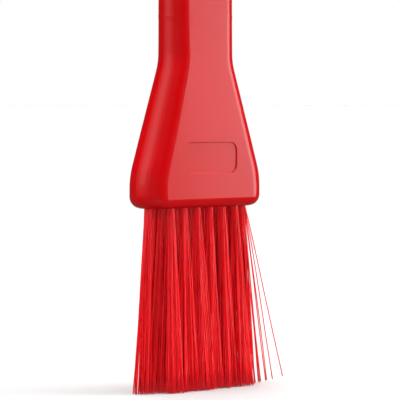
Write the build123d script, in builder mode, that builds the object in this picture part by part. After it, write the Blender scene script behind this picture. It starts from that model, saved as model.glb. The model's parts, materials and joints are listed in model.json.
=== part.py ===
from build123d import *
from math import cos, pi, radians, sin, tan
import os

# Pastry brush: a one-piece moulded handle with filament tufts stapled into blind holes in its head.
#
# Millimetres.  The brush stands on the tips of its bristles: +Z runs up the handle, X is the width of
# the head and -Y is the front.  The origin is on the plane of the tips, in the middle of the brush.

# Overall
BRUSH_LENGTH = 200.0
BRISTLE_LENGTH = 55.0
FACE_Z = BRISTLE_LENGTH

# Head: a slot-shaped section, flat front and back with fully round sides
HEAD_WIDTH = 50.0
HEAD_THICKNESS = 13.5
HEAD_STRAIGHT = 5.8
FRONT_EDGE_RADIUS = 2.8
END_EDGE_RADIUS = 3.8
EDGE_SECTIONS = 16
EDGE_END_SECTIONS = 5

# Flare from the head to the grip
SHOULDER_RADIUS = 21.5
FLARE_ANGLE = radians(18.6)
NECK_RADIUS = 16.5
TAPER_START = 10.0
TAPER_END = 58.0
FLARE_SECTIONS = 32

# Grip and its rounded top end
GRIP_WIDTH = 26.9
GRIP_THICKNESS = 10.9
HANG_HOLE_RADIUS = 4.0
HANG_HOLE_EDGE_RADIUS = 1.2
GRIP_END_Z = BRUSH_LENGTH - GRIP_WIDTH / 2

# Blank marking field moulded into the front of the head
FIELD_WIDTH = 22.0
FIELD_HEIGHT = 9.0
FIELD_CORNER_RADIUS = 2.5
FIELD_DEPTH = 0.4
FIELD_HEIGHT_ON_HEAD = 15.0

# Tufts: rows across the head, each with its number of tufts, their pitch and the row's place in Y
ROW_OFFSET = 3.2
ROWS = {
    "front": (6, 5.45, -ROW_OFFSET),
    "middle": (8, 5.7, 0.0),
    "back": (6, 5.6, ROW_OFFSET),
}
HOLE_RADIUS = 1.15
HOLE_DEPTH = 10.0
NECK_OF_TUFT_RADIUS = 1.05
TIP_SPREAD_X = 1.08
TIP_SPREAD_Y = 1.5
TIP_GAP = 0.3

# Anchors: flat wire across each hole, biting into the plastic at both sides
ANCHOR_BITE = 0.4
ANCHOR_WIDTH = 2 * (HOLE_RADIUS + ANCHOR_BITE)
ANCHOR_THICKNESS = 0.4
ANCHOR_HEIGHT = 1.8
ANCHOR_Z = FACE_Z + HOLE_DEPTH - 2.2


def row_positions(count, pitch, y):
    """Centres of one row's tufts, from left to right."""
    return [((i - (count - 1) / 2) * pitch, y) for i in range(count)]


def all_positions():
    """Centres of all the tufts on the bristle face."""
    return [position for row in ROWS.values() for position in row_positions(*row)]


def edge_inset(height, radius):
    """How far the rounded lower edge stands in from the side at a height above the bristle face."""
    drop = max(radius - height, 0.0)
    return radius - (radius**2 - drop**2) ** 0.5


def edge_size(height):
    """Width and thickness of the head's rounded lower edge at a height above the bristle face."""
    width = HEAD_WIDTH - 2 * edge_inset(height, END_EDGE_RADIUS)
    thickness = HEAD_THICKNESS - 2 * edge_inset(height, FRONT_EDGE_RADIUS)
    return width, thickness


def section_width(height):
    """Width of the handle at a height above the bristle face: two tangent arcs and a straight flank."""
    shoulder_top = HEAD_STRAIGHT + SHOULDER_RADIUS * sin(FLARE_ANGLE)
    shoulder_x = HEAD_WIDTH / 2 - SHOULDER_RADIUS * (1 - cos(FLARE_ANGLE))
    neck_x = GRIP_WIDTH / 2 + NECK_RADIUS * (1 - cos(FLARE_ANGLE))
    neck_bottom = shoulder_top + (shoulder_x - neck_x) / tan(FLARE_ANGLE)
    neck_top = neck_bottom + NECK_RADIUS * sin(FLARE_ANGLE)
    if height <= HEAD_STRAIGHT:
        half = HEAD_WIDTH / 2
    elif height <= shoulder_top:
        rise = height - HEAD_STRAIGHT
        half = HEAD_WIDTH / 2 - SHOULDER_RADIUS + (SHOULDER_RADIUS**2 - rise**2) ** 0.5
    elif height <= neck_bottom:
        half = shoulder_x - (height - shoulder_top) * tan(FLARE_ANGLE)
    elif height <= neck_top:
        drop = neck_top - height
        half = GRIP_WIDTH / 2 + NECK_RADIUS - (NECK_RADIUS**2 - drop**2) ** 0.5
    else:
        half = GRIP_WIDTH / 2
    return 2 * half


def section_thickness(height):
    """Thickness of the handle at a height above the bristle face: an even ease from head to grip."""
    along = min(max((height - TAPER_START) / (TAPER_END - TAPER_START), 0.0), 1.0)
    return GRIP_THICKNESS + (HEAD_THICKNESS - GRIP_THICKNESS) * (1 + cos(pi * along)) / 2


def make_handle():
    """Head, flare, grip and rounded end in one moulding, with its holes."""
    flare_height = TAPER_END - HEAD_STRAIGHT
    with BuildPart() as handle:
        # Rounded lower edge of the head, wider round the ends than along the front and back
        for i in range(EDGE_SECTIONS + 1):
            height = FRONT_EDGE_RADIUS * (1 - cos(pi / 2 * i / EDGE_SECTIONS))
            with BuildSketch(Plane.XY.offset(FACE_Z + height)):
                SlotOverall(*edge_size(height))
        loft()
        for i in range(EDGE_END_SECTIONS + 1):
            height = FRONT_EDGE_RADIUS + (END_EDGE_RADIUS - FRONT_EDGE_RADIUS) * i / EDGE_END_SECTIONS
            with BuildSketch(Plane.XY.offset(FACE_Z + height)):
                SlotOverall(*edge_size(height))
        loft()
        # Upright band of the head
        with BuildSketch(Plane.XY.offset(FACE_Z + END_EDGE_RADIUS)):
            SlotOverall(HEAD_WIDTH, HEAD_THICKNESS)
        extrude(amount=HEAD_STRAIGHT - END_EDGE_RADIUS)
        # Flare, through slot sections of changing width and thickness
        for i in range(FLARE_SECTIONS + 1):
            height = HEAD_STRAIGHT + flare_height * i / FLARE_SECTIONS
            with BuildSketch(Plane.XY.offset(FACE_Z + height)):
                SlotOverall(section_width(height), section_thickness(height))
        loft()
        # Straight grip
        with BuildSketch(Plane.XY.offset(FACE_Z + TAPER_END)):
            SlotOverall(GRIP_WIDTH, GRIP_THICKNESS)
        extrude(amount=GRIP_END_Z - FACE_Z - TAPER_END)
        # Round top end: half of the grip's section turned about the hanging hole
        with BuildSketch(Plane.XY.offset(GRIP_END_Z)):
            SlotOverall(GRIP_WIDTH, GRIP_THICKNESS)
            with Locations((-GRIP_WIDTH / 4, 0)):
                Rectangle(GRIP_WIDTH / 2, GRIP_THICKNESS, mode=Mode.SUBTRACT)
        revolve(axis=Axis((0, 0, GRIP_END_Z), (0, 1, 0)), revolution_arc=-180)
        # Hanging hole through the thickness
        with BuildSketch(Plane.XZ.offset(-HEAD_THICKNESS)):
            with Locations((0, GRIP_END_Z)):
                Circle(HANG_HOLE_RADIUS)
        extrude(amount=2 * HEAD_THICKNESS, mode=Mode.SUBTRACT)
        rims = handle.edges().filter_by(GeomType.CIRCLE)
        rims = rims.filter_by(lambda e: abs(e.radius - HANG_HOLE_RADIUS) < 0.01)
        fillet(rims, radius=HANG_HOLE_EDGE_RADIUS)
        # Blank marking field on the front of the head
        field_z = FACE_Z + FIELD_HEIGHT_ON_HEAD
        field_face_y = section_thickness(FIELD_HEIGHT_ON_HEAD) / 2
        with BuildSketch(Plane.XZ.offset(field_face_y - FIELD_DEPTH)):
            with Locations((0, field_z)):
                RectangleRounded(FIELD_WIDTH, FIELD_HEIGHT, FIELD_CORNER_RADIUS)
        extrude(amount=4 * FIELD_DEPTH, taper=-30, mode=Mode.SUBTRACT)
        # Blind holes for the tufts
        with BuildSketch(Plane.XY.offset(FACE_Z)):
            with Locations(*all_positions()):
                Circle(HOLE_RADIUS)
        extrude(amount=HOLE_DEPTH, mode=Mode.SUBTRACT)
        # Pockets that the anchors have cut beside the holes
        with BuildSketch(Plane.XY.offset(ANCHOR_Z)):
            with Locations(*all_positions()):
                Rectangle(ANCHOR_WIDTH, ANCHOR_THICKNESS)
        extrude(amount=ANCHOR_HEIGHT, mode=Mode.SUBTRACT)
    return handle


def make_tuft(x, y, pitch):
    """One folded bundle of filaments: round in its hole, fanning out to its share of the tips."""
    tip_radius_x = pitch * TIP_SPREAD_X / 2 - TIP_GAP / 2
    tip_radius_y = ROW_OFFSET * TIP_SPREAD_Y / 2 - TIP_GAP / 2
    with BuildPart() as tuft:
        with BuildSketch(Plane.XY.offset(FACE_Z)):
            with Locations((x, y)):
                Circle(HOLE_RADIUS)
        extrude(amount=HOLE_DEPTH)
        with BuildSketch(Plane.XY.offset(FACE_Z)):
            with Locations((x, y)):
                Circle(NECK_OF_TUFT_RADIUS)
        with BuildSketch():
            with Locations((x * TIP_SPREAD_X, y * TIP_SPREAD_Y)):
                Ellipse(tip_radius_x, tip_radius_y)
        loft()
        # Slot where the anchor holds the fold
        with BuildSketch(Plane.XY.offset(ANCHOR_Z)):
            with Locations((x, y)):
                Rectangle(ANCHOR_WIDTH, ANCHOR_THICKNESS)
        extrude(amount=ANCHOR_HEIGHT, mode=Mode.SUBTRACT)
    return tuft


def make_anchor(x, y):
    """One staple: a flat piece of wire standing on edge across its hole."""
    with BuildPart() as anchor:
        with BuildSketch(Plane.XY.offset(ANCHOR_Z)):
            with Locations((x, y)):
                Rectangle(ANCHOR_WIDTH, ANCHOR_THICKNESS)
        extrude(amount=ANCHOR_HEIGHT)
    return anchor


def write_piece(piece, name):
    """Label a finished piece and write it as its own STEP file."""
    piece.part.label = name
    export_step(piece.part, f"parts/{name}.step")


os.makedirs("parts", exist_ok=True)
write_piece(make_handle(), "handle")
for row, (count, pitch, row_y) in ROWS.items():
    for number, (x, y) in enumerate(row_positions(count, pitch, row_y), start=1):
        write_piece(make_tuft(x, y, pitch), f"tuft_{row}_{number}")
        write_piece(make_anchor(x, y), f"anchor_{row}_{number}")
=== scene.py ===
import json
from math import cos, pi, radians, sin, sqrt

import bpy
import numpy as np
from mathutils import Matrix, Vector

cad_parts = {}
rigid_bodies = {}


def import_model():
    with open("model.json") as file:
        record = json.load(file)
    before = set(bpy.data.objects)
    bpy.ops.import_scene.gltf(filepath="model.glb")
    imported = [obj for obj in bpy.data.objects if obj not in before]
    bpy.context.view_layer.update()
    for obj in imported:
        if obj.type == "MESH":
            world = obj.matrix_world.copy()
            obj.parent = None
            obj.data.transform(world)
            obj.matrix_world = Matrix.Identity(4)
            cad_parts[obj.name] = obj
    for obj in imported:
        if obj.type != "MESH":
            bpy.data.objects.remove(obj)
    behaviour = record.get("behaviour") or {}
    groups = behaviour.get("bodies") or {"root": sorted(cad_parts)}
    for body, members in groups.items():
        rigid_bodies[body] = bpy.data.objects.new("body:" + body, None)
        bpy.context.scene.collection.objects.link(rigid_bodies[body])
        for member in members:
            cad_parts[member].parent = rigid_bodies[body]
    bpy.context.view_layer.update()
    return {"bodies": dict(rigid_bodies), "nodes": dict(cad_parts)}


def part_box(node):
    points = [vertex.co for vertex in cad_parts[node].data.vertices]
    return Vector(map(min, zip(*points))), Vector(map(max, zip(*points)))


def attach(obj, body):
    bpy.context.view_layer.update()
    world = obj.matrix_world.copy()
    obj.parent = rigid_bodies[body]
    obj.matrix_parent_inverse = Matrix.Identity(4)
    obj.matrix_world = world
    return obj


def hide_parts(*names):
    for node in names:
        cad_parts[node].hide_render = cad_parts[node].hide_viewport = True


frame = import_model()

MM = 0.001
BODY = next(iter(frame["bodies"]))
ROWS = {"front": 6, "middle": 8, "back": 6}
TUFTS = [f"{row}_{i + 1}" for row, count in ROWS.items() for i in range(count)]

# The bristle face is the underside of the handle
FACE_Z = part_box("handle")[0][2]

# Filaments
FILAMENTS_PER_TUFT = 100
FILAMENT_RADIUS = 0.11 * MM
HOLE_RADIUS = 1.15 * MM
ROOT_DEPTH = 3.0 * MM
TIP_SPREAD = np.array([1.08, 1.5])
TIP_REACH = np.array([3.3, 2.5]) * MM
TIP_JITTER = 0.35 * MM
CLUMP_JITTER = np.array([1.5, 0.9]) * MM
TIP_LOW = np.array([-24.6, -7.4]) * MM
TIP_HIGH = np.array([23.2, 7.4]) * MM
TIP_RAGGED = 0.8 * MM
TIP_LOWEST = 0.05
CLUMPS_PER_TUFT = 18
CLUMP_PULL = 0.5
DISC_SHAKE = 0.02
BOW = (0.95, 1.2)
WAVE = 0.16 * MM
SECOND_WAVE = 0.06 * MM
RADIUS_RANGE = (0.92, 1.06)
SIDES = 6
SEGMENTS = 10
SEED = 3
# Stray filaments of the end tufts: how far each leans from its root by its tip, in X and Y, in mm.
# Each is STRAY_STEP filaments further into its tuft than the last.
STRAYS = {
    "middle_8": (
        (12.6, -4.2), (9.4, -3.1), (7.5, -2.5), (7.1, -2.6),
        (5.7, -1.9), (4.8, -1.8), (3.6, -1.5), (3.0, -1.2),
    ),
    "middle_1": ((-4.8, 1.5), (-4.1, 1.3), (-3.5, 1.1), (-3.0, 0.8)),
}
STRAY_RADIUS = 0.165 * MM
STRAY_BOW = 0.95
STRAY_STEP = 3

# Camera
CAMERA_AZIMUTH = -45.0
CAMERA_DISTANCE = 0.801
CAMERA_HEIGHT = 0.0873
TARGET_HEIGHT = 0.0571
TARGET_SIDE = 1.36 * MM
LENS = 238.5
SENSOR = 36.0

# Softboxes, all aimed at one point on the brush: name, azimuth, elevation, width, height, radiance
SOFTBOX_DISTANCE = 0.75
SOFTBOX_AIM = Vector((0, 0, 0.09))
SOFTBOXES = (
    ("key_right", 56.5, 20, 0.37, 0.80, 2.3),
    ("key_core", 61.0, 20, 0.24, 0.80, 1.2),
    ("left_wide", -97, 20, 1.10, 0.70, 0.26),
    ("left_middle", -97, 20, 0.80, 0.70, 0.34),
    ("left_core", -97, 24, 0.45, 0.60, 0.60),
    ("back_right", 135, 0, 0.40, 0.75, 0.7),
)
# Washes: name, azimuth, elevation, strength, and angle across the sky, which softens them
WASHES = (
    ("wash_front", -45, 25, 0.22, 60),
    ("wash_right", 57, 25, 0.98, 60),
    ("wash_left", -110, 25, 0.55, 60),
    ("wash_low", -20, -40, 0.35, 60),
    ("wash_back", 150, 30, 0.60, 60),
    ("overhead", 0, 89, 1.0, 40),
)
FLOOR_HALF = 30.0
WORLD_DIFFUSE = 0.23
# What the plastic mirrors beside the softboxes, from straight below to straight above: place and level
ROOM = ((0.31, 0.12), (0.40, 0.0), (0.68, 0.0), (0.82, 0.22))


# ---------------------------------------------------------------- materials

def new_material(name):
    """A material with an empty node tree but for its Principled shader, and that shader."""
    material = bpy.data.materials.new(name)
    material.use_nodes = True
    return material, material.node_tree, material.node_tree.nodes["Principled BSDF"]


def add_node(tree, kind, **inputs):
    """A new node of that kind, with the inputs whose names are given set to values."""
    node = tree.nodes.new(kind)
    for name, value in inputs.items():
        node.inputs[name.replace("_", " ")].default_value = value
    return node


def noise(tree, scale, detail=3.0, roughness=0.5, stretch=(1, 1, 1)):
    """Noise over the object's own coordinates, in metres, and stretched as asked."""
    coordinates = add_node(tree, "ShaderNodeTexCoord")
    mapping = add_node(tree, "ShaderNodeMapping", Scale=stretch)
    texture = add_node(tree, "ShaderNodeTexNoise", Scale=scale, Detail=detail, Roughness=roughness)
    tree.links.new(coordinates.outputs["Object"], mapping.inputs["Vector"])
    tree.links.new(mapping.outputs["Vector"], texture.inputs["Vector"])
    return texture


def ramp(tree, source, low, high, start=0.3, end=0.7):
    """A colour ramp between two colours, driven by a value."""
    node = add_node(tree, "ShaderNodeValToRGB")
    node.color_ramp.elements[0].position = start
    node.color_ramp.elements[1].position = end
    node.color_ramp.elements[0].color = (*low, 1)
    node.color_ramp.elements[1].color = (*high, 1)
    tree.links.new(source, node.inputs["Fac"])
    return node.outputs["Color"]


def spread(tree, source, low, high):
    """A value remapped from 0.3..0.7, where noise mostly lies, to low..high."""
    node = add_node(tree, "ShaderNodeMapRange")
    node.inputs["From Min"].default_value = 0.3
    node.inputs["From Max"].default_value = 0.7
    node.inputs["To Min"].default_value = low
    node.inputs["To Max"].default_value = high
    tree.links.new(source, node.inputs["Value"])
    return node.outputs["Result"]


def bump(tree, heights, shader):
    """Bumps stacked from (height output, strength, distance in metres) and joined to the shader."""
    normal = None
    for source, strength, distance in heights:
        node = add_node(tree, "ShaderNodeBump", Strength=strength, Distance=distance)
        tree.links.new(source, node.inputs["Height"])
        if normal:
            tree.links.new(normal, node.inputs["Normal"])
        normal = node.outputs["Normal"]
    tree.links.new(normal, shader.inputs["Normal"])


def handle_plastic():
    """Satin moulded polypropylene: even red, soft gloss, faint moulding texture and handling haze."""
    material, tree, shader = new_material("handle_plastic")
    cloud = noise(tree, 60.0)
    grain = noise(tree, 2600.0, detail=2.0)
    ripple = noise(tree, 140.0, detail=1.0)
    colour = ramp(tree, cloud.outputs["Fac"], (0.465, 0.0, 0.001), (0.49, 0.0, 0.002))
    tree.links.new(colour, shader.inputs["Base Color"])
    haze = noise(tree, 220.0, detail=4.0, roughness=0.6)
    tree.links.new(spread(tree, haze.outputs["Fac"], 0.16, 0.20), shader.inputs["Roughness"])
    shader.inputs["IOR"].default_value = 1.5
    bump(tree, [(grain.outputs["Fac"], 0.04, 0.00001), (ripple.outputs["Fac"], 0.06, 0.00005)], shader)
    return material


def filament_plastic():
    """Smooth extruded polyester: saturated red, glossy, each filament a little lighter or darker."""
    material, tree, shader = new_material("filament")
    tint = add_node(tree, "ShaderNodeAttribute")
    tint.attribute_name = "tint"
    colour = ramp(tree, tint.outputs["Fac"], (0.86, 0.001, 0.006), (0.97, 0.006, 0.016), 0.0, 1.0)
    tree.links.new(colour, shader.inputs["Base Color"])
    streak = noise(tree, 900.0, stretch=(1, 1, 0.12))
    tree.links.new(spread(tree, streak.outputs["Fac"], 0.24, 0.36), shader.inputs["Roughness"])
    shader.inputs["IOR"].default_value = 1.62
    shader.inputs["Coat Weight"].default_value = 0.8
    shader.inputs["Coat Roughness"].default_value = 0.3
    shader.inputs["Subsurface Weight"].default_value = 0.5
    shader.inputs["Subsurface Radius"].default_value = (1.0, 0.1, 0.1)
    shader.inputs["Subsurface Scale"].default_value = 0.3 * MM
    bump(tree, [(streak.outputs["Fac"], 0.15, 0.00001)], shader)
    return material


def anchor_steel():
    """Drawn stainless flat wire with fine lines along it."""
    material, tree, shader = new_material("anchor_steel")
    lines = noise(tree, 3000.0, stretch=(0.05, 1, 1))
    colour = ramp(tree, lines.outputs["Fac"], (0.52, 0.52, 0.51), (0.66, 0.66, 0.64))
    tree.links.new(colour, shader.inputs["Base Color"])
    tree.links.new(spread(tree, lines.outputs["Fac"], 0.22, 0.38), shader.inputs["Roughness"])
    shader.inputs["Metallic"].default_value = 1.0
    bump(tree, [(lines.outputs["Fac"], 0.2, 0.00001)], shader)
    return material


def floor_paint():
    """Matt white studio floor."""
    material, tree, shader = new_material("studio_floor")
    mottle = noise(tree, 3.0)
    colour = ramp(tree, mottle.outputs["Fac"], (0.455, 0.455, 0.455), (0.465, 0.465, 0.465))
    tree.links.new(colour, shader.inputs["Base Color"])
    shader.inputs["Roughness"].default_value = 0.9
    return material


def finish_node(node, material):
    """Give a CAD node its material."""
    node.data.materials.clear()
    node.data.materials.append(material)


# ---------------------------------------------------------------- filaments

def root_centre(name):
    """Centre of a tuft's hole: its anchor stands across the middle of it."""
    low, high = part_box(f"anchor_{name}")
    return np.array([(low[0] + high[0]) / 2, (low[1] + high[1]) / 2])


def disc_points(count, rng):
    """Points spread evenly over a unit disc, slightly shaken."""
    i = np.arange(count)
    radius = np.sqrt((i + 0.5) / count)
    angle = i * pi * (3 - sqrt(5)) + rng.uniform(0, 2 * pi)
    points = np.stack([radius * np.cos(angle), radius * np.sin(angle)], axis=1)
    return points + rng.normal(0, DISC_SHAKE, points.shape)


def tuft_filaments(name, rng):
    """Root and tip of each filament of a tuft, in metres, as two arrays of points."""
    count = FILAMENTS_PER_TUFT
    centre = root_centre(name)
    disc = disc_points(count, rng)
    roots = np.zeros((count, 3))
    roots[:, :2] = centre + disc * (HOLE_RADIUS - FILAMENT_RADIUS)
    roots[:, 2] = FACE_Z
    clumps = disc_points(CLUMPS_PER_TUFT, rng)
    nearest = np.argmin(((disc[:, None, :] - clumps[None, :, :]) ** 2).sum(axis=2), axis=1)
    shift = rng.normal(0, 1, (CLUMPS_PER_TUFT, 2)) * CLUMP_JITTER
    clump_tips = np.clip(centre * TIP_SPREAD + clumps * TIP_REACH + shift, TIP_LOW, TIP_HIGH)
    tips = np.zeros((count, 3))
    tips[:, :2] = clump_tips[nearest] + (disc - clumps[nearest]) * (1 - CLUMP_PULL) * TIP_REACH
    tips[:, :2] += rng.normal(0, TIP_JITTER, (count, 2))
    tips[:, 2] = TIP_RAGGED * (TIP_LOWEST + rng.uniform(0, 1, count) ** 2)
    return roots, tips


def filament_paths(roots, tips, strays, rng):
    """Centre lines, one row of points for each filament: straight out of the hole, then fanning out."""
    count = len(roots)
    along = np.linspace(0, 1, SEGMENTS + 1)
    bow = rng.uniform(*BOW, (count, 1))
    bow[strays] = STRAY_BOW
    lateral = along[None, :] ** bow
    paths = roots[:, None, :] * np.ones((1, SEGMENTS + 1, 1))
    paths[:, :, :2] += (tips - roots)[:, None, :2] * lateral[:, :, None]
    paths[:, :, 2] += (tips - roots)[:, None, 2] * along[None, :]
    wave = np.sin(along * pi)[None, :, None] * rng.normal(0, WAVE, (count, 1, 2))
    second = np.sin(along * 2 * pi)[None, :, None] * rng.normal(0, SECOND_WAVE, (count, 1, 2))
    paths[:, :, :2] += wave + second
    inside = paths[:, :1, :].copy()
    inside[:, :, 2] += ROOT_DEPTH
    return np.concatenate([inside, paths], axis=1)


def tubes(name, paths, radii, tints, material):
    """One mesh of closed round tubes along the paths, with a tint for each."""
    count, rings = paths.shape[:2]
    forward = np.gradient(paths, axis=1)
    forward /= np.linalg.norm(forward, axis=2, keepdims=True)
    side = np.cross(forward, np.array([0.0, 1.0, 0.0]))
    side /= np.linalg.norm(side, axis=2, keepdims=True)
    other = np.cross(forward, side)
    turn = np.arange(SIDES) * 2 * pi / SIDES
    circle = side[:, :, None, :] * np.cos(turn)[None, None, :, None]
    circle = circle + other[:, :, None, :] * np.sin(turn)[None, None, :, None]
    vertices = paths[:, :, None, :] + circle * radii[:, None, None, None]
    per_tube = rings * SIDES
    ring = np.arange(rings - 1)[:, None] * SIDES
    k = np.arange(SIDES)[None, :]
    after = (k + 1) % SIDES
    quad = np.stack([ring + k, ring + after, ring + SIDES + after, ring + SIDES + k], axis=2)
    quad = quad.reshape(-1, 4)
    start_cap = np.arange(SIDES)[::-1]
    end_cap = (rings - 1) * SIDES + np.arange(SIDES)
    faces = []
    for i in range(count):
        offset = i * per_tube
        faces.extend((quad + offset).tolist())
        faces.append((start_cap + offset).tolist())
        faces.append((end_cap + offset).tolist())
    mesh = bpy.data.meshes.new(name)
    mesh.from_pydata(vertices.reshape(-1, 3).tolist(), [], faces)
    mesh.polygons.foreach_set("use_smooth", [len(f) == 4 for f in faces])
    attribute = mesh.attributes.new("tint", "FLOAT", "POINT")
    attribute.data.foreach_set("value", np.repeat(tints, per_tube).astype(np.float32))
    mesh.materials.append(material)
    mesh.update()
    piece = bpy.data.objects.new(name, mesh)
    bpy.context.scene.collection.objects.link(piece)
    return piece


def add_strays(name, roots, tips):
    """Move the tips of the outermost filaments of an end tuft further out, and up as they lean."""
    strays = []
    for i, (reach_x, reach_y) in enumerate(STRAYS.get(name, ())):
        outward = np.argsort(-np.sign(reach_x) * roots[:, 0] + roots[:, 1])[STRAY_STEP * i]
        tips[outward, :2] = roots[outward, :2] + np.array([reach_x, reach_y]) * MM
        tips[outward, 2] = FACE_Z - sqrt(FACE_Z**2 - (reach_x**2 + reach_y**2) * MM**2)
        strays.append(outward)
    return strays


def make_tuft(name, material, rng):
    """The filaments of one tuft, which stand for its CAD solid."""
    roots, tips = tuft_filaments(name, rng)
    strays = add_strays(name, roots, tips)
    paths = filament_paths(roots, tips, strays, rng)
    radii = FILAMENT_RADIUS * rng.uniform(*RADIUS_RANGE, len(paths))
    radii[strays] = STRAY_RADIUS
    tints = rng.uniform(0, 1, len(paths))
    piece = tubes(f"filaments_{name}", paths, radii, tints, material)
    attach(piece, BODY)
    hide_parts(f"tuft_{name}")


# ---------------------------------------------------------------- stage, light and camera

def direction(azimuth, elevation=0.0):
    """Unit vector from the brush towards a place round it: azimuth 0 is the front, 90 is +X."""
    a, e = radians(azimuth), radians(elevation)
    return Vector((sin(a) * cos(e), -cos(a) * cos(e), sin(e)))


def softbox(name, azimuth, elevation, width, height, radiance):
    """A rectangular area light that faces the brush and that the camera doesn't see."""
    data = bpy.data.lights.new(name, "AREA")
    data.shape = "RECTANGLE"
    data.size = width
    data.size_y = height
    data.energy = radiance * pi * width * height
    light = bpy.data.objects.new(name, data)
    bpy.context.scene.collection.objects.link(light)
    away = direction(azimuth, elevation)
    light.location = SOFTBOX_AIM + away * SOFTBOX_DISTANCE
    light.rotation_euler = away.to_track_quat("Z", "Y").to_euler()
    light.visible_camera = False


def make_floor():
    """A wide white floor under the tips.  The plastic doesn't mirror it."""
    half = FLOOR_HALF
    mesh = bpy.data.meshes.new("studio_floor")
    corners = [(-half, -half, 0), (half, -half, 0), (half, half, 0), (-half, half, 0)]
    mesh.from_pydata(corners, [], [(0, 1, 2, 3)])
    mesh.materials.append(floor_paint())
    floor = bpy.data.objects.new("studio_floor", mesh)
    bpy.context.scene.collection.objects.link(floor)
    floor.visible_glossy = False
    floor.visible_diffuse = False
    floor.visible_shadow = False


def make_world():
    """White ground for the camera, a soft even fill for the surfaces and a dim room for reflections."""
    world = bpy.data.worlds.new("studio")
    bpy.context.scene.world = world
    world.use_nodes = True
    tree = world.node_tree
    background = tree.nodes["Background"]
    background.inputs["Color"].default_value = (1, 1, 1, 1)
    path = tree.nodes.new("ShaderNodeLightPath")
    height = tree.nodes.new("ShaderNodeSeparateXYZ")
    place = tree.nodes.new("ShaderNodeTexCoord")
    tree.links.new(place.outputs["Generated"], height.inputs["Vector"])
    room = add_node(tree, "ShaderNodeValToRGB")
    stops = room.color_ramp.elements
    for element, (position, level) in zip((stops[0], stops[1], stops.new(0.5), stops.new(0.5)), ROOM):
        element.position = position
        element.color = (level, level, level, 1)
    level = add_node(tree, "ShaderNodeMapRange")
    level.inputs["From Min"].default_value = -1.0
    tree.links.new(height.outputs["Z"], level.inputs["Value"])
    tree.links.new(level.outputs["Result"], room.inputs["Fac"])
    fill = tree.nodes.new("ShaderNodeMix")
    fill.inputs[2].default_value = WORLD_DIFFUSE
    tree.links.new(room.outputs["Color"], fill.inputs[3])
    tree.links.new(path.outputs["Is Glossy Ray"], fill.inputs[0])
    ground = tree.nodes.new("ShaderNodeMix")
    ground.inputs[3].default_value = 1.0
    tree.links.new(path.outputs["Is Camera Ray"], ground.inputs[0])
    tree.links.new(fill.outputs[0], ground.inputs[2])
    tree.links.new(ground.outputs[0], background.inputs["Strength"])


def wash(name, azimuth, elevation, strength, angle):
    """A broad even light from one side that the plastic doesn't mirror."""
    data = bpy.data.lights.new(name, "SUN")
    data.energy = strength * pi
    data.angle = radians(angle)
    light = bpy.data.objects.new(name, data)
    bpy.context.scene.collection.objects.link(light)
    light.rotation_euler = direction(azimuth, elevation).to_track_quat("Z", "Y").to_euler()
    light.visible_glossy = False


def make_lights():
    """Softboxes to both sides, which the plastic mirrors, and washes that only light it."""
    for box in SOFTBOXES:
        softbox(*box)
    for light in WASHES:
        wash(*light)


def make_camera():
    """Nearly level, from the left of the front face, with a long lens."""
    data = bpy.data.cameras.new("camera")
    data.sensor_width = SENSOR
    data.lens = LENS
    camera = bpy.data.objects.new("camera", data)
    bpy.context.scene.collection.objects.link(camera)
    back = direction(CAMERA_AZIMUTH)
    right = direction(CAMERA_AZIMUTH + 90)
    target = right * TARGET_SIDE + Vector((0, 0, TARGET_HEIGHT))
    camera.location = right * TARGET_SIDE + back * CAMERA_DISTANCE + Vector((0, 0, CAMERA_HEIGHT))
    camera.rotation_euler = (camera.location - target).to_track_quat("Z", "Y").to_euler()
    bpy.context.scene.camera = camera


# ---------------------------------------------------------------- build

make_camera()
make_floor()
make_world()
make_lights()
bpy.context.scene.view_settings.view_transform = "Standard"

rng = np.random.default_rng(SEED)
filament = filament_plastic()
steel = anchor_steel()
finish_node(frame["nodes"]["handle"], handle_plastic())
for name in TUFTS:
    make_tuft(name, filament, rng)
    finish_node(frame["nodes"][f"anchor_{name}"], steel)
